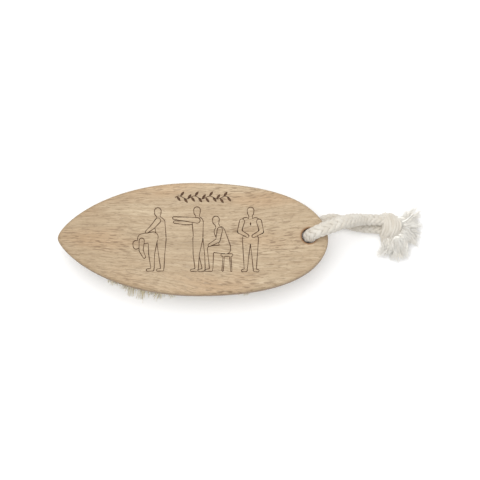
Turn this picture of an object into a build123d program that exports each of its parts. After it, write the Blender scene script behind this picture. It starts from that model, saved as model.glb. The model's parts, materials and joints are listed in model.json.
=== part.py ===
"""Hand massage brush: a leaf-shaped wooden board with rows of fibre tufts and a knotted cord loop.

Millimetres, +Z up. The brush stands on the tips of its bristles at z = 0, with its
back up. +X points to the end that carries the cord, and the origin is on the floor
under the middle of the board.
"""

import os
from math import cos, hypot, radians, sin, tan

from build123d import *

# ---- driving dimensions ---------------------------------------------------------------

board_length = 200.0
board_width = 83.6
board_thickness = 14.0
widest_from_tip = 102.0
tip_handle = 8.8             # how far the outline's curve heads straight across at the tip
flank_handle = 68.0          # and along the axis, on the tip's side of the widest place
shoulder_handle = 84.0       # the same on the cord's side
end_handle = 13.5            # and across, at the cord's end
back_edge_radius = 2.6       # rounding round the back
face_edge_radius = 2.2       # rounding round the bristle face

bristle_length = 20.0        # free length, from the face to the tips
tuft_hole_diameter = 3.5
tuft_hole_depth = 9.0
tuft_tip_diameter = 5.6      # a bundle spreads towards its tips
tuft_clearance = 0.05        # between a bundle and the wall of its hole
tuft_pitch = 8.0             # along a row
row_count = 9
outer_row_inset = 7.4        # from the widest line of the board to its outer rows
tuft_edge_margin = 4.5       # from the board's outline to a tuft's centre
tuft_cord_margin = 26.2      # from the board's axis beside the cord hole to a tuft's centre

anchor_thickness = 0.35      # flat wire that pins each bundle
anchor_height = 1.6
anchor_bite = 0.4            # how far it enters the wood on each side
anchor_above_bottom = 1.2    # from the bottom of the hole to the wire

cord_hole_from_end = 14.1
cord_hole_offset = 2.7       # sideways from the long axis
cord_hole_diameter = 10.8
cord_hole_rim_radius = 1.8
cord_diameter = 9.0

knot_length = 13.6
knot_width = 20.6
knot_height = 17.6
knot_end_radius = 5.0
knot_centre_x = 148.2
knot_centre_y = 12.8

right_tail_length = 17.0
right_tail_root = (5.0, 4.6)     # half width and half height beside the knot
right_tail_tip = (12.0, 6.0)     # the same at the frayed end
lower_tail_length = 16.0
lower_tail_root = (6.0, 5.0)
lower_tail_tip = (12.0, 5.6)
tail_overlap = 3.0               # how far a tail's solid starts inside the knot

# ---- places that follow from them -----------------------------------------------------

face_z = bristle_length
back_z = face_z + board_thickness
half_width = board_width / 2
tip_x = -board_length / 2
end_x = board_length / 2
widest_x = tip_x + widest_from_tip
hole_x = end_x - cord_hole_from_end
hole_y = cord_hole_offset
cord_radius = cord_diameter / 2
row_pitch = (board_width - 2 * outer_row_inset) / (row_count - 1)
knot_z = knot_height / 2

# Half of the outline is two curves, each through four controls, that meet at the widest place.
flank_controls = [
    (tip_x, 0),
    (tip_x, tip_handle),
    (widest_x - flank_handle, half_width),
    (widest_x, half_width),
]
shoulder_controls = [
    (widest_x, half_width),
    (widest_x + shoulder_handle, half_width),
    (end_x, end_handle),
    (end_x, 0),
]

# The cord's own route, point by point. Both strands start face to face in the hole.
upper_route = [
    (85.9, 2.7, 27.0),
    (86.1, 2.8, 32.7),
    (88.1, 3.6, 38.3),
    (92.6, 5.5, 42.0),
    (101.6, 8.9, 42.9),
    (112.2, 13.2, 37.2),
    (122.8, 16.4, 21.6),
    (132.6, 17.3, 14.0),
    (144.4, 16.9, 12.3),
]
lower_route = [
    (85.9, 2.7, 27.0),
    (85.7, 2.6, 21.7),
    (86.2, 4.6, 16.6),
    (89.4, 8.6, 12.7),
    (95.0, 14.4, 9.9),
    (103.2, 18.1, 6.9),
    (112.2, 16.9, 5.1),
    (122.2, 13.6, 4.9),
    (132.4, 11.9, 5.1),
    (142.8, 11.4, 5.3),
]
corner_share = 0.45          # of the shorter run beside a corner, taken by its arc


def curve_point(controls, share):
    """The point at a share, from 0 to 1, of the curve through four controls."""
    rest = 1 - share
    weights = (rest**3, 3 * rest**2 * share, 3 * rest * share**2, share**3)
    return [sum(weight * control[axis] for weight, control in zip(weights, controls)) for axis in (0, 1)]


def outline_half_width(x):
    """Half the board's width at x, by halving the stretch of the outline that x is in."""
    controls = flank_controls if x < widest_x else shoulder_controls
    low = 0.0
    high = 1.0
    for _ in range(30):
        middle = (low + high) / 2
        if curve_point(controls, middle)[0] < x:
            low = middle
        else:
            high = middle
    return curve_point(controls, low)[1]


def inside_board(x, y, margin):
    """Whether a circle of the radius margin round (x, y) stays within the outline."""
    for angle in range(0, 360, 15):
        edge_x = x + margin * cos(radians(angle))
        edge_y = y + margin * sin(radians(angle))
        if not tip_x < edge_x < end_x:
            return False
        if abs(edge_y) > outline_half_width(edge_x):
            return False
    return True


def tuft_centres(row):
    """Where the tufts of one row stand; every second row is shifted by half a pitch."""
    y = (row - (row_count - 1) / 2) * row_pitch
    shift = tuft_pitch / 2 if row % 2 else 0.0
    steps = int(board_length / tuft_pitch)
    centres = []
    for step in range(-steps, steps + 1):
        x = step * tuft_pitch + shift
        if not inside_board(x, y, tuft_edge_margin):
            continue
        if hypot(x - hole_x, y) < tuft_cord_margin:
            continue
        centres.append((x, y))
    return centres


def corner_radii(route):
    """The radius of the arc at each inner corner of a cord's route."""
    radii = []
    for before, corner, after in zip(route, route[1:], route[2:]):
        run_in = Vector(*corner) - Vector(*before)
        run_out = Vector(*after) - Vector(*corner)
        turn = run_in.get_angle(run_out)
        shorter = min(run_in.length, run_out.length)
        radii.append(corner_share * shorter / tan(radians(turn / 2)))
    return radii


rows = [tuft_centres(row) for row in range(row_count)]
all_tufts = [centre for row in rows for centre in row]
anchor_z = face_z + tuft_hole_depth - anchor_above_bottom - anchor_height / 2
anchor_width = tuft_hole_diameter + 2 * anchor_bite
os.makedirs("parts", exist_ok=True)

# ---- the wooden board -----------------------------------------------------------------

with BuildPart() as board:
    with BuildSketch(Plane.XY.offset(face_z)):
        with BuildLine():
            Bezier(*flank_controls)
            Bezier(*shoulder_controls)
            mirror(about=Plane.XZ)
        make_face()
    extrude(amount=board_thickness)
    fillet(board.faces().sort_by(Axis.Z)[-1].edges(), radius=back_edge_radius)
    fillet(board.faces().sort_by(Axis.Z)[0].edges(), radius=face_edge_radius)
    # The cord's hole goes right through, and its rims are rounded for the cord.
    with BuildSketch(Plane.XY.offset(face_z)):
        with Locations((hole_x, hole_y)):
            Circle(cord_hole_diameter / 2)
    extrude(amount=board_thickness, mode=Mode.SUBTRACT)
    rims = board.edges().filter_by(GeomType.CIRCLE).filter_by(
        lambda edge: abs(edge.radius - cord_hole_diameter / 2) < 0.01
    )
    fillet(rims, radius=cord_hole_rim_radius)
    # Blind holes for the tufts, with a slit where each anchor bites into the wood.
    with BuildSketch(Plane.XY.offset(face_z)):
        with Locations(*all_tufts):
            Circle(tuft_hole_diameter / 2)
    extrude(amount=tuft_hole_depth, mode=Mode.SUBTRACT)
    with BuildSketch(Plane.XY.offset(anchor_z - anchor_height / 2)):
        with Locations(*all_tufts):
            Rectangle(anchor_thickness, anchor_width)
    extrude(amount=anchor_height, mode=Mode.SUBTRACT)
board.part.label = "board"
export_step(board.part, "parts/board.step")

# ---- tufts and their wire anchors, row by row -----------------------------------------

for number, centres in enumerate(rows, start=1):
    with BuildPart() as tuft_row:
        with BuildSketch(Plane.XY.offset(face_z)):
            with Locations(*centres):
                Circle(tuft_hole_diameter / 2 - tuft_clearance)
        extrude(amount=tuft_hole_depth)
        with Locations(*[(x, y, face_z / 2) for x, y in centres]):
            Cone(tuft_tip_diameter / 2, tuft_hole_diameter / 2 - tuft_clearance, face_z)
        with BuildSketch(Plane.XY.offset(anchor_z - anchor_height / 2)):
            with Locations(*centres):
                Rectangle(anchor_thickness, anchor_width)
        extrude(amount=anchor_height, mode=Mode.SUBTRACT)
    tuft_row.part.label = f"tuft_row_{number}"
    export_step(tuft_row.part, f"parts/tuft_row_{number}.step")

    with BuildPart() as anchor_row:
        with BuildSketch(Plane.XY.offset(anchor_z - anchor_height / 2)):
            with Locations(*centres):
                Rectangle(anchor_thickness, anchor_width)
        extrude(amount=anchor_height)
    anchor_row.part.label = f"anchor_row_{number}"
    export_step(anchor_row.part, f"parts/anchor_row_{number}.step")

# ---- the cord's knot and its two frayed ends ------------------------------------------

with BuildPart() as knot:
    knot_start = Plane.YZ.offset(knot_centre_x - knot_length / 2)
    with BuildSketch(knot_start):
        with Locations((knot_centre_y, knot_z)):
            Ellipse(knot_width / 2, knot_height / 2)
    extrude(amount=knot_length)
    fillet(knot.edges(), radius=knot_end_radius)
knot.part.label = "cord_knot"
export_step(knot.part, "parts/cord_knot.step")

right_tail_start = knot_centre_x + knot_length / 2 - tail_overlap
with BuildPart() as right_tail:
    with BuildSketch(Plane.YZ.offset(right_tail_start)):
        with Locations((knot_centre_y, knot_z - 1.5)):
            Ellipse(*right_tail_root)
    with BuildSketch(Plane.YZ.offset(right_tail_start + tail_overlap + right_tail_length)):
        with Locations((knot_centre_y - 1.5, right_tail_tip[1])):
            Ellipse(*right_tail_tip)
    loft()
    add(knot.part, mode=Mode.SUBTRACT)
right_tail.part.label = "cord_tail_right"
export_step(right_tail.part, "parts/cord_tail_right.step")

lower_tail_start = knot_centre_y - knot_width / 2 + tail_overlap
with BuildPart() as lower_tail:
    with BuildSketch(Plane.XZ.offset(-lower_tail_start)):
        with Locations((knot_centre_x + 0.6, knot_z - 1.5)):
            Ellipse(*lower_tail_root)
    with BuildSketch(Plane.XZ.offset(-lower_tail_start + tail_overlap + lower_tail_length)):
        with Locations((knot_centre_x + 2.2, lower_tail_tip[1])):
            Ellipse(*lower_tail_tip)
    loft()
    add(knot.part, mode=Mode.SUBTRACT)
lower_tail.part.label = "cord_tail_lower"
export_step(lower_tail.part, "parts/cord_tail_lower.step")

# ---- the cord's two strands -----------------------------------------------------------

for name, route in (("cord_upper_strand", upper_route), ("cord_lower_strand", lower_route)):
    radii = corner_radii(route)
    with BuildPart() as strand:
        with BuildLine() as path:
            FilletPolyline(*route, radius=radii)
        centreline = path.wire()
        with BuildSketch(Plane(origin=centreline @ 0, z_dir=centreline % 0)) as section:
            Circle(cord_radius)
        sweep(path=centreline)
        volume_ratio = strand.part.volume / (section.sketch.area * centreline.length)
        add(knot.part, mode=Mode.SUBTRACT)
    strand.part.label = name
    export_step(strand.part, f"parts/{name}.step")
    print(name, "length", round(centreline.length, 1), "volume / (section x length)", round(volume_ratio, 4))
    print("  radii", [round(radius, 1) for radius in radii])

print("tufts", len(all_tufts), "in rows of", [len(row) for row in rows])
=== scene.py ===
"""The looks of a hand massage brush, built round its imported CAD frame.

A leaf-shaped beech board with burnt-in line drawings on its back, nine rows of
plant-fibre tufts in its face, and a braided cotton cord, knotted into a loop,
whose two ends are frayed. Metres, in the CAD model's own frame: +Z up, +X
towards the cord, the origin on the floor under the middle of the board.
"""

import json
import math

import bpy
import numpy as np
from mathutils import Matrix, Vector


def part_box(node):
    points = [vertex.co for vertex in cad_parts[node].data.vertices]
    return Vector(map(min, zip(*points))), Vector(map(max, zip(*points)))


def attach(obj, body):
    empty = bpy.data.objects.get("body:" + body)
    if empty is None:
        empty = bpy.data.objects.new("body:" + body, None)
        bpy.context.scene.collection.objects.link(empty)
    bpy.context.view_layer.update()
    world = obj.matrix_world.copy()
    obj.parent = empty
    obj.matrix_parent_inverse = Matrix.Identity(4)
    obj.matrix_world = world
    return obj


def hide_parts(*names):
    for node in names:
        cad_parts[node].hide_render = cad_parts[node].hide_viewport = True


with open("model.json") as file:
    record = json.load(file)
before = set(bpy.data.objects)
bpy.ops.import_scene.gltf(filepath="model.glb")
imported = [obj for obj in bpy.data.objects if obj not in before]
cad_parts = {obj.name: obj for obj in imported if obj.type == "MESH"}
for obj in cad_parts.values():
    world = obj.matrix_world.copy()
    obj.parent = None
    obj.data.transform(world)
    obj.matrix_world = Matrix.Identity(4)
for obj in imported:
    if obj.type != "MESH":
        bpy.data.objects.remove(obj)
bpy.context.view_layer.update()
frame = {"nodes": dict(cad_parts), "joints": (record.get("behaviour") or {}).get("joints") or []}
MM = 0.001
TAU = 2 * math.pi
UP = np.array((0.0, 0.0, 1.0))
board_low, board_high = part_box("board")
back_z = board_high.z
face_z = board_low.z
hole = Vector(frame["joints"][0]["pos_m"])


# ---- camera ---------------------------------------------------------------------------

def look_at(thing, eye, target, up=(0, 1, 0)):
    """Turns a camera or a light at eye towards target, with up upwards in its view."""
    back = (Vector(eye) - Vector(target)).normalized()
    right = Vector(up).cross(back).normalized()
    axes = Matrix((right, back.cross(right), back)).transposed()
    thing.rotation_mode = "QUATERNION"
    thing.rotation_quaternion = axes.to_quaternion()
    thing.location = eye


def add_camera():
    """The camera nearly overhead, leaning a little towards the long side at -Y."""
    elevation = math.radians(84)
    distance = 1.2
    view_width = 0.3554
    target = Vector((0.0348, -0.0004, back_z - 4 * MM))
    roll = math.radians(0.36)
    data = bpy.data.cameras.new("camera")
    data.sensor_width = 36
    data.lens = data.sensor_width * distance / view_width
    data.clip_end = 20
    camera = bpy.data.objects.new("camera", data)
    bpy.context.scene.collection.objects.link(camera)
    eye = target + distance * Vector((0, -math.cos(elevation), math.sin(elevation)))
    look_at(camera, eye, target, up=(-math.sin(roll), math.cos(roll), 0))
    bpy.context.scene.camera = camera


add_camera()


# ---- meshes from arrays ---------------------------------------------------------------

def new_mesh(name, vertices, quads, caps=()):
    """A smooth mesh object from a vertex array, an array of quads and a list of end caps."""
    mesh = bpy.data.meshes.new(name)
    faces = [*quads.tolist(), *caps]
    mesh.from_pydata(vertices.tolist(), [], faces)
    mesh.polygons.foreach_set("use_smooth", np.ones(len(faces), bool))
    mesh.update()
    thing = bpy.data.objects.new(name, mesh)
    bpy.context.scene.collection.objects.link(thing)
    return thing


def unit(vectors):
    """Vectors of length one."""
    return vectors / np.maximum(np.linalg.norm(vectors, axis=-1, keepdims=True), 1e-12)


def tube_arrays(points, radius, up, sides=6, flat=1.0, lobes=0, lobe_depth=0.0, twist=0.0):
    """Vertices, quads and caps of many closed tubes at once.

    points is (tubes, steps, 3), radius broadcasts to (tubes, steps), and up is a vector
    that each cross-section's height follows. flat is height over width. lobes, lobe_depth
    and twist make a yarn's section a twisted clover.
    """
    count, steps = points.shape[:2]
    radius = np.broadcast_to(radius, (count, steps))
    along = unit(np.gradient(points, axis=1))
    side = unit(np.cross(along, np.broadcast_to(up, points.shape)))
    rise = np.cross(side, along)
    angle = np.arange(sides) * TAU / sides
    turn = np.linspace(0, twist, steps)[:, None] + angle[None, :]
    swell = 1 + lobe_depth * np.cos(lobes * turn)
    across = (np.cos(angle) * swell)[None, :, :] * radius[:, :, None]
    over = (np.sin(angle) * swell)[None, :, :] * radius[:, :, None] * flat
    ring = points[:, :, None] + across[..., None] * side[:, :, None] + over[..., None] * rise[:, :, None]
    index = np.arange(count * steps * sides).reshape(count, steps, sides)
    after = np.roll(index, -1, axis=2)
    quads = np.stack([index[:, :-1], after[:, :-1], after[:, 1:], index[:, 1:]], axis=-1).reshape(-1, 4)
    caps = [*index[:, 0, ::-1].tolist(), *index[:, -1].tolist()]
    return ring.reshape(-1, 3), quads, caps


def joined(parts):
    """Several results of tube_arrays as one."""
    vertices, quads, caps = [], [], []
    start = 0
    for part_vertices, part_quads, part_caps in parts:
        vertices.append(part_vertices)
        quads.append(part_quads + start)
        caps.extend([[corner + start for corner in cap] for cap in part_caps])
        start += len(part_vertices)
    return np.concatenate(vertices), np.concatenate(quads), caps


# ---- the cord -------------------------------------------------------------------------

CORD_DIAMETER = 9.5 * MM
UPPER_ROUTE = [
    (85.9, 2.7, 27.0),
    (86.1, 2.8, 32.7),
    (88.1, 3.6, 38.3),
    (92.6, 5.5, 42.0),
    (101.6, 8.9, 42.9),
    (112.2, 13.2, 37.2),
    (122.8, 16.4, 21.6),
    (132.6, 17.3, 14.0),
    (144.4, 16.9, 12.3),
]
LOWER_ROUTE = [
    (85.9, 2.7, 27.0),
    (85.7, 2.6, 21.7),
    (86.2, 4.6, 16.6),
    (89.4, 8.6, 12.7),
    (95.0, 14.4, 9.9),
    (103.2, 18.1, 6.9),
    (112.2, 16.9, 5.1),
    (122.2, 13.6, 4.9),
    (132.4, 11.9, 5.1),
    (142.8, 11.4, 5.3),
]


def smooth_line(name, route):
    """Points close together on the NURBS line that has the route as its control points."""
    curve = bpy.data.curves.new(name, "CURVE")
    curve.dimensions = "3D"
    spline = curve.splines.new("NURBS")
    spline.points.add(len(route) - 1)
    for point, place in zip(spline.points, route):
        point.co = (*[value * MM for value in place], 1)
    spline.order_u = 3
    spline.use_endpoint_u = True
    spline.resolution_u = 24
    line = bpy.data.objects.new(name, curve)
    mesh = bpy.data.meshes.new_from_object(line)
    points = np.array([vertex.co for vertex in mesh.vertices])
    bpy.data.objects.remove(line)
    bpy.data.meshes.remove(mesh)
    return points


def resampled(points, count):
    """The same line as count points at even distances, and its length."""
    steps = np.linalg.norm(np.diff(points, axis=0), axis=1)
    at = np.concatenate([[0], np.cumsum(steps)])
    even = np.linspace(0, at[-1], count)
    return np.stack([np.interp(even, at, points[:, axis]) for axis in range(3)], axis=1), at[-1]


def carried_normals(points):
    """The direction of a line at each of its points, and a normal carried along it without twisting."""
    along = unit(np.gradient(points, axis=0))
    start_side = (0.31, 0.93, 0.17)
    normal = unit(np.cross(along[0], start_side))
    normals = []
    for direction in along:
        normal = unit(normal - direction * np.dot(normal, direction))
        normals.append(normal)
    return along, np.array(normals)


def cord_fullness(distance, seed):
    """How thick the cord is along its length, as a share of its diameter."""
    # The cord fills its hole, swells once it is out, and is pulled tight at the knot.
    stations = (0, 0.06, 0.12, 0.26, 0.55, 0.85, 1)
    fullness = np.interp(distance / distance[-1], stations, (1.05, 1.05, 1.0, 1.12, 1.06, 0.94, 0.87))
    slow_waves = 0.02 * np.sin(distance / (9 * MM) + seed)
    quick_waves = 0.015 * np.sin(distance / (3.7 * MM))
    return fullness * (1 + slow_waves + quick_waves)


def braided_cord(name, route, seed):
    """A braid of twelve yarns, each over two and under two others, round a core."""
    carriers = 6
    lay_length = 27 * MM
    yarn_half_width = 1.55 * MM
    yarn_flatness = 0.60
    yarn_twist_length = 7 * MM
    weave_depth = 0.58 * MM
    core_gap = 0.5 * MM
    hair_count = 900
    steps = 240
    random = np.random.default_rng(seed)
    points, length = resampled(smooth_line(name + "_line", route), steps)
    along, normal = carried_normals(points)
    binormal = np.cross(along, normal)
    distance = np.linspace(0, length, steps)
    fullness = cord_fullness(distance, seed)
    middle = CORD_DIAMETER / 2 - weave_depth - yarn_half_width * yarn_flatness
    crossings = 2 * carriers * distance / lay_length
    yarns, outward = [], []
    for direction in (1, -1):
        for carrier in range(carriers):
            wander = 0.05 * np.sin(distance / (4.3 * MM) + random.uniform(0, TAU))
            angle = direction * TAU * distance / lay_length + TAU * carrier / carriers + wander
            # A yarn's whole wave in and out is four crossings long.
            over = np.cos(TAU / 4 * (2 * carrier + direction * crossings - 0.5))
            radius = (middle + direction * weave_depth * over) * fullness
            radial = np.cos(angle)[:, None] * normal + np.sin(angle)[:, None] * binormal
            yarns.append(points + radius[:, None] * radial)
            outward.append(radial)
    braid = tube_arrays(
        np.array(yarns), yarn_half_width * fullness, np.array(outward), sides=12,
        flat=yarn_flatness, lobes=4, lobe_depth=0.07, twist=TAU * length / yarn_twist_length,
    )
    core = tube_arrays(points[None], (middle - core_gap) * fullness, normal[None], sides=16)
    hairs = surface_hairs(points, normal, binormal, CORD_DIAMETER / 2 * fullness, hair_count, random)
    return new_mesh(name, *joined([braid, core, hairs])), points


def surface_hairs(points, normal, binormal, radius, count, random):
    """Short stray fibres that stand off a cord's surface, from roots just inside it."""
    root_depth = 0.93
    bare_steps = 4
    thickness = 0.05 * MM
    height_above_floor = 0.1 * MM
    place = random.integers(bare_steps, len(points) - bare_steps, count)
    angle = random.uniform(0, TAU, count)
    radial = np.cos(angle)[:, None] * normal[place] + np.sin(angle)[:, None] * binormal[place]
    root = points[place] + radial * (radius[place] * root_depth)[:, None]
    lean = unit(radial + random.normal(0, 0.9, (count, 3)))
    reach = random.uniform(0.5, 1.5, count) * MM
    curl = random.normal(0, 0.35, (count, 3))
    share = np.linspace(0, 1, 4)[None, :, None]
    bent = share * lean[:, None] + share**2 * curl[:, None]
    hairs = root[:, None] + bent * reach[:, None, None]
    hairs[..., 2] = np.maximum(hairs[..., 2], height_above_floor)
    section_up = np.array((0.2, 0.3, 0.9))
    return tube_arrays(hairs, thickness * (1 - 0.6 * share[..., 0]), section_up, sides=3)


upper, upper_points = braided_cord("cord_upper", UPPER_ROUTE, 3)
lower, lower_points = braided_cord("cord_lower", LOWER_ROUTE, 5)


# ---- the knot and the frayed ends -----------------------------------------------------

knot_low, knot_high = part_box("cord_knot")
knot_middle = (knot_low + knot_high) / 2
knot_half = (knot_high - knot_low) / 2


def bezier(controls, share):
    """Points on smooth curves, from their control points and an array of shares along them."""
    layers = [np.broadcast_to(control[:, None], (len(control), share.size, 3)) for control in controls]
    share = share.reshape(1, -1, 1)
    while len(layers) > 1:
        layers = [first * (1 - share) + second * share for first, second in zip(layers, layers[1:])]
    return layers[0]


def knot_band(random):
    """Yarns side by side that come from below, wind over the two strands and run into the lower tail."""
    yarn_count = 7
    yarn_radius = 1.32 * MM
    band_half_width = 5.6 * MM
    band_x = knot_middle.x - 2.2 * MM
    ends_x = knot_middle.x + 2.2 * MM
    ends_half_width = 7 * MM
    half_width = knot_half.y - 1.2 * MM
    half_height = knot_half.z - 1.1 * MM
    steps = 64
    turn = np.linspace(math.radians(-160), math.radians(158), steps)
    over_top = np.clip(np.sin(turn), 0, 1) ** 2
    yarns, outward = [], []
    for yarn in range(yarn_count):
        across = (yarn + 0.5) / yarn_count * 2 - 1
        # The band is thickest in its middle, slants over the top and wanders a little.
        crown = 1 - 0.24 * (across + 0.10) ** 2
        slant = (3.3 + 1.0 * across) * MM * over_top
        wander = 0.3 * MM * np.sin(2.2 * turn + 1.7 * yarn)
        x = band_x + across * band_half_width + slant + wander
        wide = half_width * crown * (1 + 0.03 * random.normal())
        high = half_height * crown
        y = knot_middle.y + 0.5 * MM + wide * np.cos(turn)
        z = knot_middle.z + high * np.sin(turn)
        ring = np.stack([x, y, z], axis=1)
        end_y = knot_low.y - random.uniform(3, 7) * MM
        end_z = random.uniform(2, 7) * MM
        end = np.array([[ends_x + across * ends_half_width, end_y, end_z]])
        middle = ring[-1:] + (0, -4.0 * MM, -3.5 * MM)
        run_out = bezier([ring[-1:], middle, end], np.linspace(0, 1, 14)[1:])[0]
        yarns.append(np.concatenate([ring, run_out]))
        radial = unit(np.stack([np.zeros(steps), np.cos(turn) / wide, np.sin(turn) / high], axis=1))
        outward.append(np.concatenate([radial, np.repeat(radial[-1:], len(run_out), axis=0)]))
    radius = yarn_radius * (1 + 0.07 * random.normal(0, 1, (yarn_count, 1)))
    return tube_arrays(
        np.array(yarns), radius, np.array(outward), sides=12, flat=0.85,
        lobes=4, lobe_depth=0.06, twist=7 * TAU,
    )


def knot_core():
    """The two strands pressed together inside the knot, as one rounded body."""
    steps = 24
    half_width = knot_half.y - 1.9 * MM
    half_height = knot_half.z - 1.7 * MM
    x = np.linspace(knot_low.x + 0.4 * MM, knot_high.x + 1.0 * MM, steps)
    points = np.stack([x, np.full(steps, knot_middle.y), np.full(steps, knot_middle.z)], axis=1)
    swell = np.sqrt(np.clip(1 - np.linspace(-0.86, 0.86, steps) ** 4, 0, 1))
    return tube_arrays(points[None], (half_width * swell)[None], UP, sides=20, flat=half_height / half_width)


def make_knot():
    """The band of yarns and what it is wound round, as one mesh."""
    random = np.random.default_rng(11)
    return new_mesh("knot", *joined([knot_band(random), knot_core()]))


def fan_lines(random, count, shape, clumps, share, reach_low, loose, wave):
    """Wavy lines that start side by side at the knot and fan out over the floor in clumps.

    clumps holds each clump's place across the fan, its place over it and its reach. reach_low is
    the shortest line as a share of its clump, and loose is how far lines stray from their clump.
    """
    heading = math.radians(shape["heading"])
    fan = math.radians(shape["fan"])
    root = np.array(shape["root"])
    clump = random.integers(0, len(clumps), count)
    across = clumps[clump, 0] + random.normal(0, loose, count)
    over = np.clip(clumps[clump, 1] + random.normal(0, 0.35, count), -1, 1)
    direction = np.array((math.cos(heading), math.sin(heading), 0))
    side = np.array((-math.sin(heading), math.cos(heading), 0))
    root_across = np.clip(0.6 * across + random.normal(0, 0.3, count), -1, 1)
    start = root + np.outer(root_across * shape["half_width"], side)
    start[:, 2] += random.uniform(-1, 1, count) * shape["half_height"]
    angle = heading + fan * across
    reach = shape["reach"] * clumps[clump, 2] * random.uniform(reach_low, 1, count)
    end = root + np.stack([np.cos(angle) * reach, np.sin(angle) * reach, np.zeros(count)], axis=1)
    end[:, 2] = shape["tip_height"] * (0.5 + 0.5 * over)
    middle = start + direction * shape["reach"] * 0.25 + (end - start) * 0.2
    line = bezier([start, middle, end], share)
    phase = random.uniform(0, TAU, (count, 1, 3))
    rate = random.uniform(7, 15, (count, 1, 1))
    size = wave * random.uniform(0.3, 1.2, (count, 1, 1)) * np.sqrt(share)[None, :, None]
    return line + size * np.sin(rate * share[None, :, None] + phase) * (1, 1, 0.6)


def frayed_end(name, shape, ply_count, hair_count, seed):
    """An unlaid end of the cord: kinked plies in clumps, and loose fibres over and past them."""
    random = np.random.default_rng(seed)
    clump_count = 27
    clumps = np.stack([
        np.linspace(-1, 1, clump_count) + random.normal(0, 0.05, clump_count),
        random.uniform(-1, 1, clump_count),
        random.uniform(0.70, 1.10, clump_count),
    ], axis=1)

    ply_share = np.linspace(0, 1, 16)
    plies = fan_lines(
        random, ply_count, shape, clumps, ply_share, reach_low=0.62, loose=0.04, wave=0.9 * MM,
    )
    plies[..., 2] = np.maximum(plies[..., 2], 0.6 * MM)
    thick = random.uniform(0.38, 0.68, (ply_count, 1)) * MM * (1 - 0.7 * ply_share**1.5)[None, :]
    ply_arrays = tube_arrays(plies, thick, UP, sides=8, flat=0.85, lobes=3, lobe_depth=0.16, twist=3 * TAU)

    hair_share = np.linspace(0.2, 1, 10)
    hairs = fan_lines(
        random, hair_count, shape, clumps, hair_share, reach_low=0.74, loose=0.05, wave=1.2 * MM,
    )
    lift = random.normal(0.4, 0.8, (hair_count, 1)) * MM
    hairs[..., 2] = np.maximum(hairs[..., 2] + lift, 0.15 * MM)
    thin = random.uniform(0.06, 0.13, (hair_count, 1)) * MM * (1 - 0.5 * hair_share)[None, :]
    return new_mesh(name, *joined([ply_arrays, tube_arrays(hairs, thin, UP, sides=4)]))


# Headings and fans are in degrees: a heading of 0 is +X, and the fan is half of the fray's spread.
RIGHT_FRAY = {
    "root": (knot_high.x - 2.5 * MM, knot_middle.y - 0.5 * MM, knot_middle.z),
    "heading": -6, "fan": 62, "reach": 21.5 * MM,
    "half_width": 7.0 * MM, "half_height": 4 * MM, "tip_height": 11 * MM,
}
LOWER_FRAY = {
    "root": (knot_middle.x + 3.2 * MM, knot_low.y + 4.5 * MM, knot_middle.z - 1 * MM),
    "heading": -90, "fan": 38, "reach": 20 * MM,
    "half_width": 8.0 * MM, "half_height": 3.5 * MM, "tip_height": 10 * MM,
}
knot = make_knot()
tail_right = frayed_end("tail_right", RIGHT_FRAY, ply_count=210, hair_count=1100, seed=21)
tail_lower = frayed_end("tail_lower", LOWER_FRAY, ply_count=190, hair_count=1000, seed=22)


# ---- the tufts ------------------------------------------------------------------------

def tuft_centres(node):
    """The centres of a row's CAD tufts, from the X gaps between their vertices at the floor."""
    low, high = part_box(node)
    smallest_gap = 1.5 * MM
    vertices = np.array([vertex.co for vertex in frame["nodes"][node].data.vertices])
    at_floor = vertices[vertices[:, 2] < low.z + 0.5 * MM]
    x = np.sort(np.unique(np.round(at_floor[:, 0], 6)))
    groups = np.split(x, np.where(np.diff(x) > smallest_gap)[0] + 1)
    return np.array([((group[0] + group[-1]) / 2, (low.y + high.y) / 2) for group in groups])


def outline_points():
    """Points of the board's outline: its CAD vertices at the upper edge of the face's fillet."""
    fillet = 2.2 * MM
    vertices = np.array([vertex.co for vertex in frame["nodes"]["board"].data.vertices])
    on_the_side = np.abs(vertices[:, 2] - face_z - fillet) < 0.3 * MM
    beside_hole = np.hypot(vertices[:, 0] - hole.x, vertices[:, 1] - hole.y) < 10 * MM
    return vertices[on_the_side & ~beside_hole][:, :2]


board_outline = outline_points()


def edge_splay(centres):
    """How far the tips of each tuft lean outwards, as a vector, and how worn it is from 0 to 1."""
    offset = board_outline[None] - centres[:, None]
    nearest = np.argmin(np.linalg.norm(offset, axis=2), axis=1)
    offset = offset[np.arange(len(centres)), nearest]
    room = np.linalg.norm(offset, axis=1, keepdims=True)
    # Tufts near the board's edge are splayed outwards by use.
    splay = np.interp(room, (4.5 * MM, 9 * MM, 20 * MM), (2.6 * MM, 1.4 * MM, 0))
    # One stretch of the edge at -Y is worn, and its tufts lean out to the edge.
    worn_x, worn_length = -37 * MM, 17 * MM
    worn = np.exp(-((centres[:, :1] - worn_x) / worn_length) ** 2)
    worn = worn * (centres[:, 1:] < -20 * MM) * (room < 14 * MM)
    splay = splay + worn * np.clip(room - 1.5 * MM, 0, 9.5 * MM)
    return offset / room * splay, worn


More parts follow.
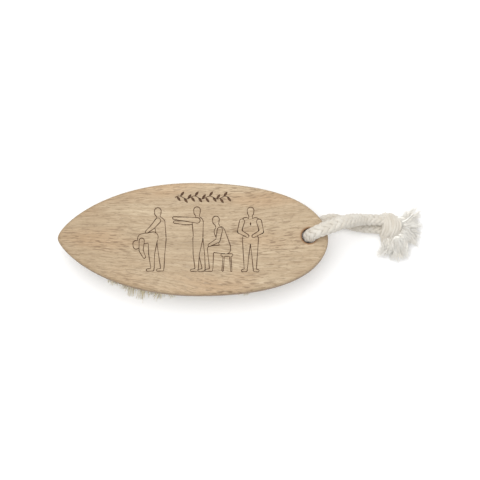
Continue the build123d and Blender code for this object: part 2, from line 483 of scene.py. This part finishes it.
def tuft_row(node, seed):
    """One row of tufts: each is a bundle of fibres that spreads and curls towards its tips."""
    fibres = 84
    steps = 5
    root_radius = 1.6 * MM
    tip_radius, worn_tip_radius = 3.2 * MM, 7.8 * MM
    scatter = 0.35 * MM
    root_z = face_z + 2 * MM
    random = np.random.default_rng(seed)
    centres = tuft_centres(node)
    count = len(centres) * fibres
    centre = np.repeat(centres, fibres, axis=0)
    angle = random.uniform(0, TAU, count)
    rim = np.sqrt(random.uniform(0, 1, count))
    disc = np.stack([np.cos(angle), np.sin(angle)], axis=1) * rim[:, None]
    tuft_lean = np.repeat(random.normal(0, scatter, (len(centres), 2)), fibres, axis=0)
    splay, worn = edge_splay(centres)
    spread = np.repeat(tip_radius + worn * (worn_tip_radius - tip_radius), fibres, axis=0)
    outward = np.repeat(splay, fibres, axis=0) * random.uniform(0.6, 1.25, (count, 1))
    root = centre + disc * root_radius
    tip = centre + disc * spread + tuft_lean + outward + random.normal(0, scatter, (count, 2))
    bow = random.normal(0, scatter, (count, 1, 2))
    share = np.linspace(0, 1, steps)[None, :, None]
    flat = root[:, None] + (tip - root)[:, None] * share**1.4 + bow * np.sin(share * math.pi)
    tip_z = np.abs(random.normal(0, 0.45 * MM, count))
    height = root_z + (tip_z - root_z)[:, None] * share[..., 0]
    points = np.concatenate([flat, height[..., None]], axis=2)
    thickness = random.uniform(0.12, 0.17, (count, 1)) * MM * np.linspace(1, 0.75, steps)[None, :]
    section_up = np.array((1.0, 0.15, 0.0))
    tubes = tube_arrays(points, thickness, section_up, sides=4)
    return new_mesh(node.replace("tuft_row", "bristles"), *tubes)


tuft_nodes = sorted(node for node in frame["nodes"] if node.startswith("tuft_row"))
bristles = {node: tuft_row(node, seed) for seed, node in enumerate(tuft_nodes, start=40)}


# ---- the burnt drawings ---------------------------------------------------------------

BURN_HEIGHT = 0.05 * MM
LINE_WIDTH = 0.55 * MM


def limb(*joints):
    """The tapered capsules from joint to joint; a joint is its x, y and radius in millimetres."""
    ends = [(np.array((x, y), float), radius) for x, y, radius in joints]
    return [(*first, *second) for first, second in zip(ends, ends[1:])]


def depth_inside(capsule, points):
    """How far each point is inside a capsule."""
    start, start_radius, end, end_radius = capsule
    axis = end - start
    share = np.clip(((points - start) @ axis) / (axis @ axis), 0, 1)
    nearest = start + share[:, None] * axis
    radius = start_radius + (end_radius - start_radius) * share
    return radius - np.linalg.norm(points - nearest, axis=1)


def arc(centre, radius, angles):
    """Points on a circle at the given angles."""
    return centre + radius * np.stack([np.cos(angles), np.sin(angles)], axis=1)


def capsule_outline(capsule):
    """The closed outline of a capsule, as points about a quarter of a millimetre apart."""
    start, start_radius, end, end_radius = capsule
    axis = end - start
    arc_steps, side_steps = 28, 40
    heading = math.atan2(axis[1], axis[0])
    slope = math.acos((start_radius - end_radius) / np.linalg.norm(axis))
    far = arc(end, end_radius, np.linspace(heading - slope, heading + slope, arc_steps))
    near = arc(start, start_radius, np.linspace(heading + slope, heading - slope + TAU, arc_steps))
    side = np.linspace(0, 1, side_steps)[1:-1, None]
    back = far[-1] * (1 - side) + near[0] * side
    out = near[-1] * (1 - side) + far[0] * side
    return np.concatenate([far, back, near, out, far[:1]])


def drawing_strokes(layers):
    """The seen outlines of a figure whose layers lie one over another, the last on top."""
    least_depth = 0.02  # of a millimetre, so that a shared edge stays
    strokes = []
    for number, layer in enumerate(layers):
        above = [capsule for upper_layer in layers[number + 1:] for capsule in upper_layer]
        for own, capsule in enumerate(layer):
            outline = capsule_outline(capsule)
            others = [other for index, other in enumerate(layer) if index != own] + above
            hidden = np.zeros(len(outline), bool)
            for other in others:
                hidden |= depth_inside(other, outline) > least_depth
            breaks = np.where(np.diff(hidden.astype(int)) != 0)[0] + 1
            for run in np.split(np.arange(len(outline)), breaks):
                if len(run) > 2 and not hidden[run[0]]:
                    strokes.append(outline[run])
    return strokes


def ribbon(points, width):
    """Vertices, quads and caps of one flat line burnt along points on the board's back."""
    width = np.broadcast_to(width, len(points))
    along = unit(np.gradient(points, axis=0))
    side = np.stack([-along[:, 1], along[:, 0]], axis=1) * width[:, None] / 2
    low, high = back_z - BURN_HEIGHT, back_z + BURN_HEIGHT
    corners = []
    for offset, height in ((-side, low), (side, low), (side, high), (-side, high)):
        corners.append(np.concatenate([points + offset, np.full((len(points), 1), height)], axis=1))
    ring = np.stack(corners, axis=1)
    index = np.arange(len(points) * 4).reshape(len(points), 4)
    after = np.roll(index, -1, axis=1)
    quads = np.stack([index[:-1], after[:-1], after[1:], index[1:]], axis=-1).reshape(-1, 4)
    return ring.reshape(-1, 3), quads, [index[0, ::-1].tolist(), index[-1].tolist()]


def head(x, y):
    """A plain head with nothing in it."""
    return limb((x, y - 0.8, 2.3), (x, y + 0.9, 2.5))


def foot(heel_x, toe_x, toe_radius=0.8):
    """A foot on the ground."""
    return limb((heel_x, 1.3, 1.1), (toe_x, 0.9, toe_radius))


def standing_figure():
    """Seen from the front, hands folded at the waist."""
    body = head(0, 44.6) + limb((0, 41.5, 1.3), (0, 38, 1.5))
    body += limb((-3.6, 37.2, 3.1), (-1.8, 26, 3.2)) + limb((3.6, 37.2, 3.1), (1.8, 26, 3.2))
    arms = []
    for side in (-1, 1):
        body += limb((2.7 * side, 24.5, 3.2), (3.1 * side, 13, 2.1), (3.3 * side, 2.6, 1.2))
        body += foot(3.3 * side, 5.6 * side, 0.9)
        arms += limb((6.3 * side, 37.3, 1.9), (8.2 * side, 30, 1.5), (2.2 * side, 26.6, 1.1))
    return [body, arms]


def reaching_figure():
    """Seen from the side, both arms held straight out in front."""
    far = limb((-1, 36.6, 1.7), (-9, 36.0, 1.4), (-17, 36.6, 0.9))
    far += limb((1.0, 24, 3.0), (3.2, 12.6, 2.1), (4.6, 2.8, 1.2)) + foot(4.6, 1.2)
    body = head(-0.6, 44.6) + limb((-0.2, 41.5, 1.4), (0, 38, 1.7)) + limb((0, 36.5, 4.1), (0.4, 26, 3.5))
    body += limb((0.2, 24.5, 3.7), (-0.9, 13, 2.3), (-0.5, 2.8, 1.3)) + foot(-0.5, -4.4)
    arm = limb((-0.4, 38, 2.1), (-8.6, 38.8, 1.6), (-17.6, 39.6, 1.0))
    return [far, body, arm]


def seated_figure():
    """Seen from the side, sitting on a stool with the hands on the knees."""
    stool = limb((2.2, 12.4, 0.9), (9.2, 12.4, 0.9))
    stool += limb((3.4, 11.6, 0.5), (2.6, 0.8, 0.5)) + limb((8.2, 11.6, 0.5), (9.0, 0.8, 0.5))
    body = head(-2.6, 37.8) + limb((-1.8, 34.8, 1.4), (-0.6, 32, 1.7))
    body += limb((0.2, 29.6, 4.0), (4.6, 18.6, 3.7)) + limb((5.0, 16.6, 3.4), (-6.4, 16.8, 2.3))
    body += limb((-6.4, 16.4, 2.3), (-5.8, 3, 1.3)) + foot(-5.8, -9.6)
    arm = limb((0.4, 31, 2.0), (-1.0, 23.2, 1.6), (-7.2, 19.6, 1.0))
    return [stool, body, arm]


def bending_pair():
    """One figure bends forward and another stands behind, hands on its back."""
    helper = head(6.4, 43.8) + limb((6.8, 41, 1.4), (7.6, 38, 1.7)) + limb((7.8, 36, 4.0), (9.2, 25.5, 3.5))
    helper += limb((9.2, 24, 3.6), (9.6, 12.8, 2.3), (10.2, 2.8, 1.3)) + foot(10.2, 6.6)
    bent = head(-9.2, 19.4) + limb((-8.0, 21.0, 1.4), (-6.2, 22.4, 1.7))
    bent += limb((-4.4, 24, 3.9), (3.2, 25.4, 3.7))
    bent += limb((3.0, 24, 3.5), (2.2, 13, 2.2), (3.0, 2.8, 1.3)) + foot(3.0, -0.8)
    arms = limb((-5.2, 22.6, 1.9), (-5.6, 15.4, 1.5), (-3.2, 10.6, 1.0))
    arms += limb((6.6, 37.6, 2.0), (2.6, 32.8, 1.6), (-1.6, 29.2, 1.0))
    return [helper, bent, arms]


def make_drawings():
    """Four drawings of people at rest and at exercise, without faces, in a row on the back."""
    baseline = -24.4
    figures = {-32.5: bending_pair, 3.5: reaching_figure, 19.5: seated_figure, 42.5: standing_figure}
    parts = []
    for x, figure in figures.items():
        for stroke in drawing_strokes(figure()):
            places = (stroke + (x, baseline)) * MM
            wobble = np.sin(np.arange(len(places)) / 9 + 5 * len(parts))
            parts.append(ribbon(places, LINE_WIDTH * (1 + 0.22 * wobble)))
    return new_mesh("burnt_figures", *joined(parts))


def make_vine():
    """A plain ornament over the drawings: a waved stem with slanted leaves on both sides."""
    middle_x, middle_y = 6.5 * MM, 30.6 * MM
    width, wave_height, waves = 40 * MM, 1.1 * MM, 3.5
    leaf_count, leaf_length, leaf_slant = 15, 4.4 * MM, math.radians(52)
    leaf_width, leaf_end_width = 1.7 * MM, 0.12 * MM

    def stem(share):
        x = middle_x + (share - 0.5) * width
        return np.stack([x, middle_y + wave_height * np.sin(share * waves * TAU)], axis=-1)

    parts = [ribbon(stem(np.linspace(0, 1, 120)), 0.5 * MM)]
    along = np.linspace(0, 1, 14)
    for leaf in range(leaf_count):
        side = 1 if leaf % 2 else -1
        heading = np.array((math.cos(leaf_slant), side * math.sin(leaf_slant)))
        blade = stem((leaf + 0.5) / leaf_count) + heading * (along * leaf_length)[:, None]
        parts.append(ribbon(blade, leaf_end_width + leaf_width * np.sin(along * math.pi) ** 0.8))
    return new_mesh("burnt_vine", *joined(parts))


drawings = make_drawings()
vine = make_vine()


# ---- materials ------------------------------------------------------------------------

class Nodes:
    """A short way to build a material's node tree."""

    def __init__(self, name):
        self.material = bpy.data.materials.new(name)
        self.material.use_nodes = True
        self.tree = self.material.node_tree
        self.shader = self.tree.nodes["Principled BSDF"]

    def add(self, kind, inputs=None, **settings):
        """A new node with its settings, and its inputs set or linked."""
        node = self.tree.nodes.new("ShaderNode" + kind)
        for key, value in settings.items():
            setattr(node, key, value)
        for key, value in (inputs or {}).items():
            self.put(node, key, value)
        return node

    def put(self, node, key, value):
        """Sets an input, or links it where value is another node's output."""
        if isinstance(value, bpy.types.NodeSocket):
            self.tree.links.new(value, node.inputs[key])
        else:
            node.inputs[key].default_value = value

    def coordinates(self):
        """Places in the object's own metres."""
        return self.add("TexCoord").outputs["Object"]

    def noise(self, vector, scale, detail, roughness=0.5):
        """Noise over a vector whose axes are scaled one by one."""
        mapping = self.add("Mapping", {"Vector": vector, "Scale": scale})
        node = self.add("TexNoise", {
            "Vector": mapping.outputs["Vector"], "Scale": 1.0, "Detail": detail, "Roughness": roughness,
        })
        return node.outputs["Fac"]

    def ramp(self, factor, stops):
        """A colour ramp from its positions and colours."""
        node = self.add("ValToRGB", {"Fac": factor})
        elements = node.color_ramp.elements
        while len(elements) < len(stops):
            elements.new(0.5)
        for element, (position, colour) in zip(elements, stops):
            element.position = position
            element.color = colour
        return node.outputs["Color"]

    def span(self, value, low, high, to_low=0.0, to_high=1.0):
        """The value moved from low to high on to to_low to to_high, and held there past the ends."""
        node = self.add("MapRange", {
            "Value": value, "From Min": low, "From Max": high, "To Min": to_low, "To Max": to_high,
        })
        return node.outputs["Result"]

    def mix(self, factor, first, second, blend="MIX"):
        """Two colours mixed. The colour inputs 6 and 7 and output 2 share their names with others."""
        node = self.add("Mix", {"Factor": factor, 6: first, 7: second}, data_type="RGBA", blend_type=blend)
        return node.outputs[2]

    def maths(self, operation, first, second=0.0):
        return self.add("Math", {0: first, 1: second}, operation=operation).outputs["Value"]

    def vector(self, operation, first, second):
        return self.add("VectorMath", {0: first, 1: second}, operation=operation).outputs["Vector"]

    def combined(self, **axes):
        return self.add("CombineXYZ", axes).outputs["Vector"]

    def look(self, **inputs):
        """Sets or links the shader's inputs, whose names are given with _ for a space."""
        for key, value in inputs.items():
            self.put(self.shader, key.replace("_", " "), value)

    def bump(self, height, strength, distance):
        node = self.add("Bump", {"Height": height, "Strength": strength, "Distance": distance})
        self.put(self.shader, "Normal", node.outputs["Normal"])


def srgb(red, green, blue):
    """A colour given as 0 to 255 display values, in linear light."""
    def linear(value):
        value = value / 255
        return value / 12.92 if value <= 0.04045 else ((value + 0.055) / 1.055) ** 2.4
    return (linear(red), linear(green), linear(blue), 1)


def grain_space(n, coordinates, along_board):
    """Coordinates in which the grain fans out from the tip and wanders sideways a little."""
    fan = n.span(along_board, board_low.x, 0.0, 1.4, 1.0)
    fanned = n.vector("MULTIPLY", coordinates, n.combined(X=1.0, Y=fan, Z=1.0))
    drift = n.noise(coordinates, (7, 12, 12), 1)
    return n.vector("ADD", fanned, n.combined(Y=n.span(drift, 0.3, 0.7, -7 * MM, 7 * MM)))


def painted_shade_on_sides(n, colour):
    """Paints shade on the board's sides, a little, fading out over its rounded edges."""
    normal = n.add("SeparateXYZ", {"Vector": n.add("NewGeometry").outputs["Normal"]})
    upward = n.maths("ABSOLUTE", normal.outputs["Z"])
    return n.mix(n.span(upward, 0.75, 0.1, 0.0, 0.55), colour, srgb(160, 128, 94), "MULTIPLY")


def painted_hole_shade(n, colour, coordinates):
    """Paints brown shade into the cord's hole and over its rim."""
    from_hole = n.vector("SUBTRACT", coordinates, (hole.x, hole.y, 0))
    across_hole = n.vector("MULTIPLY", from_hole, (1, 1, 0))
    distance = n.add("VectorMath", {0: across_hole}, operation="LENGTH").outputs["Value"]
    return n.mix(n.span(distance, 5.6 * MM, 7.3 * MM, 0.85, 0.0), colour, srgb(142, 98, 62))


def beech():
    """Plain-sawn beech: soft long bands, fine grain, and short dark flecks along the grain."""
    n = Nodes("beech")
    coordinates = n.coordinates()
    along_board = n.add("SeparateXYZ", {"Vector": coordinates}).outputs["X"]
    wood = grain_space(n, coordinates, along_board)
    # Broad bands, and warmer stretches among them.
    colour = n.ramp(n.noise(wood, (6, 85, 40), 3, 0.6), [
        (0.28, srgb(162, 141, 114)), (0.42, srgb(187, 166, 138)), (0.56, srgb(177, 155, 127)),
        (0.70, srgb(198, 179, 151)),
    ])
    warmth = n.noise(wood, (13, 40, 40), 2)
    colour = n.mix(n.span(warmth, 0.46, 0.68, 0.0, 0.38), colour, srgb(186, 144, 104))
    # Darker streaks and fine grain.
    streaks = n.noise(wood, (60, 800, 800), 2, 0.55)
    colour = n.mix(n.span(streaks, 0.40, 0.68, 0.0, 0.33), colour, srgb(146, 120, 92))
    grain = n.noise(wood, (30, 1000, 1000), 5, 0.65)
    colour = n.mix(n.span(grain, 0.36, 0.70, 0.0, 0.50), colour, srgb(142, 118, 89))
    # Short flecks, thicker in some patches, with pores and glints among them.
    patches = n.span(n.noise(wood, (14, 34, 34), 1), 0.35, 0.65, 0.45, 1.0)
    flecks = n.maths("MULTIPLY", n.span(n.noise(wood, (150, 1050, 1050), 1), 0.55, 0.64), patches)
    colour = n.mix(n.maths("MULTIPLY", flecks, 0.72), colour, srgb(118, 93, 68))
    pores = n.span(n.noise(wood, (420, 2600, 2600), 1), 0.60, 0.72)
    colour = n.mix(n.maths("MULTIPLY", pores, 0.45), colour, srgb(98, 74, 52))
    glints = n.noise(wood, (170, 1050, 1050), 1)
    colour = n.mix(n.span(glints, 0.58, 0.72, 0.0, 0.16), colour, srgb(226, 208, 182))
    # Painted light along the board: the tip's end is a little darker and yellower, and the rest is
    # brightened.
    tone = n.mix(n.span(along_board, -80 * MM, -20 * MM), (0.985, 0.975, 0.925, 1), (1.10, 1.12, 1.11, 1))
    colour = n.mix(1.0, colour, tone, "MULTIPLY")
    # Painted shade darkens the board's sides and the cord's hole.
    colour = painted_hole_shade(n, painted_shade_on_sides(n, colour), coordinates)
    n.look(Base_Color=colour, Roughness=n.span(grain, 0.3, 0.8, 0.55, 0.70))
    n.bump(n.maths("SUBTRACT", n.maths("MULTIPLY", grain, 0.4), flecks), 0.35, 0.12 * MM)
    return n.material


def cotton(name, light, shade, spread):
    """Undyed cotton yarn: matt, a little uneven in tone, with a fine fibrous surface."""
    n = Nodes(name)
    coordinates = n.coordinates()
    tone = n.noise(coordinates, (160, 160, 160), 2)
    own_tone = n.add("NewGeometry").outputs["Random Per Island"]
    fine = n.noise(coordinates, (2600, 2600, 2600), 2)
    colour = n.mix(n.span(tone, 0.35, 0.7), light, shade)
    colour = n.mix(n.span(own_tone, 0.3, 1.0, 0.0, spread), colour, srgb(178, 163, 138))
    colour = n.mix(n.span(fine, 0.45, 0.8, 0.0, 0.30), colour, srgb(205, 195, 178))
    n.look(Base_Color=colour, Roughness=0.92, Sheen_Weight=0.25, Sheen_Roughness=0.6)
    n.bump(fine, 0.5, 0.15 * MM)
    return n.material


def plant_fibre():
    """Pale tampico fibre; every fibre has its own tone."""
    n = Nodes("plant_fibre")
    own_tone = n.add("NewGeometry").outputs["Random Per Island"]
    colour = n.ramp(own_tone, [
        (0.0, srgb(206, 192, 154)), (0.4, srgb(230, 219, 186)), (0.75, srgb(240, 231, 204)),
        (1.0, srgb(247, 241, 222)),
    ])
    streak = n.noise(n.coordinates(), (900, 900, 60), 2)
    colour = n.mix(n.span(streak, 0.4, 0.8, 0.0, 0.4), colour, srgb(184, 164, 120))
    n.look(Base_Color=colour, Roughness=0.55)
    return n.material


def burnt():
    """Wood browned by a hot pen, in lighter and darker patches."""
    n = Nodes("burnt_wood")
    scorch = n.noise(n.coordinates(), (700, 1200, 1200), 3, 0.6)
    n.look(Base_Color=n.ramp(scorch, [(0.3, srgb(62, 42, 28)), (0.7, srgb(104, 74, 50))]), Roughness=0.85)
    n.bump(scorch, 0.4, 0.1 * MM)
    return n.material


def drawn_wire():
    """Flat steel wire with drawing lines along it."""
    n = Nodes("drawn_wire")
    lines = n.noise(n.coordinates(), (3000, 60, 3000), 2)
    steel = n.ramp(lines, [(0.3, (0.42, 0.42, 0.43, 1)), (0.7, (0.60, 0.60, 0.61, 1))])
    n.look(Base_Color=steel, Metallic=1.0, Roughness=0.35)
    return n.material


def give(thing, material):
    """Makes the material an object's only one."""
    thing.data.materials.clear()
    thing.data.materials.append(material)


beech_material, fibre_material = beech(), plant_fibre()
cotton_material = cotton("cotton", srgb(218, 213, 203), srgb(206, 199, 187), 0.15)
# A brighter copy of the cord's cotton for the frayed ends: painted light that offsets the shade among their
# dense fibres.
brightened_loose_cotton = cotton("brightened_loose_cotton", srgb(255, 254, 250), srgb(252, 249, 242), 0.28)
burnt_material, wire_material = burnt(), drawn_wire()
give(frame["nodes"]["board"], beech_material)
for node, thing in frame["nodes"].items():
    if node.startswith("anchor_row"):
        give(thing, wire_material)
for thing in (upper, lower, knot):
    give(thing, cotton_material)
# The frayed ends take the brighter copy of the cotton, which is painted light.
for thing in (tail_right, tail_lower):
    give(thing, brightened_loose_cotton)
for thing in bristles.values():
    give(thing, fibre_material)
for thing in (drawings, vine):
    give(thing, burnt_material)


# ---- floor and light ------------------------------------------------------------------

def add_floor():
    """A matt near-white floor that glows faintly."""
    half = 1.5
    corners = np.array([(-half, -half, 0), (half, -half, 0), (half, half, 0), (-half, half, 0)])
    floor = new_mesh("floor", corners, np.array([(0, 1, 2, 3)]))
    n = Nodes("floor")
    n.look(Base_Color=(0.88, 0.88, 0.88, 1), Roughness=0.9, Specular_IOR_Level=0.1)
    n.look(Emission_Color=(1, 1, 1, 1), Emission_Strength=0.14)
    give(floor, n.material)


def add_light(name, eye, size, power):
    """A round area light, turned towards the middle of the brush and its cord."""
    data = bpy.data.lights.new(name, "AREA")
    data.shape = "DISK"
    data.size = size
    data.energy = power
    light = bpy.data.objects.new(name, data)
    bpy.context.scene.collection.objects.link(light)
    look_at(light, Vector(eye), Vector((0.03, 0, 0)))


def add_world(strength):
    """A plain white world."""
    world = bpy.data.worlds.new("studio")
    world.use_nodes = True
    background = world.node_tree.nodes["Background"]
    background.inputs["Color"].default_value = (1, 1, 1, 1)
    background.inputs["Strength"].default_value = strength
    bpy.context.scene.world = world


add_floor()
add_world(strength=0.64)
add_light("key", eye=(-0.12, 0.20, 1.3), size=1.3, power=13.6)
bpy.context.scene.view_settings.view_transform = "Standard"


# ---- what moves with what -------------------------------------------------------------

for thing in (upper, lower, knot, tail_right, tail_lower):
    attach(thing, "cord_loop")
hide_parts("cord_upper_strand")
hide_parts("cord_lower_strand")
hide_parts("cord_knot")
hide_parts("cord_tail_right")
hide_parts("cord_tail_lower")
for node, thing in bristles.items():
    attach(thing, "brush")
    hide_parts(node)
for thing in (drawings, vine):
    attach(thing, "brush")
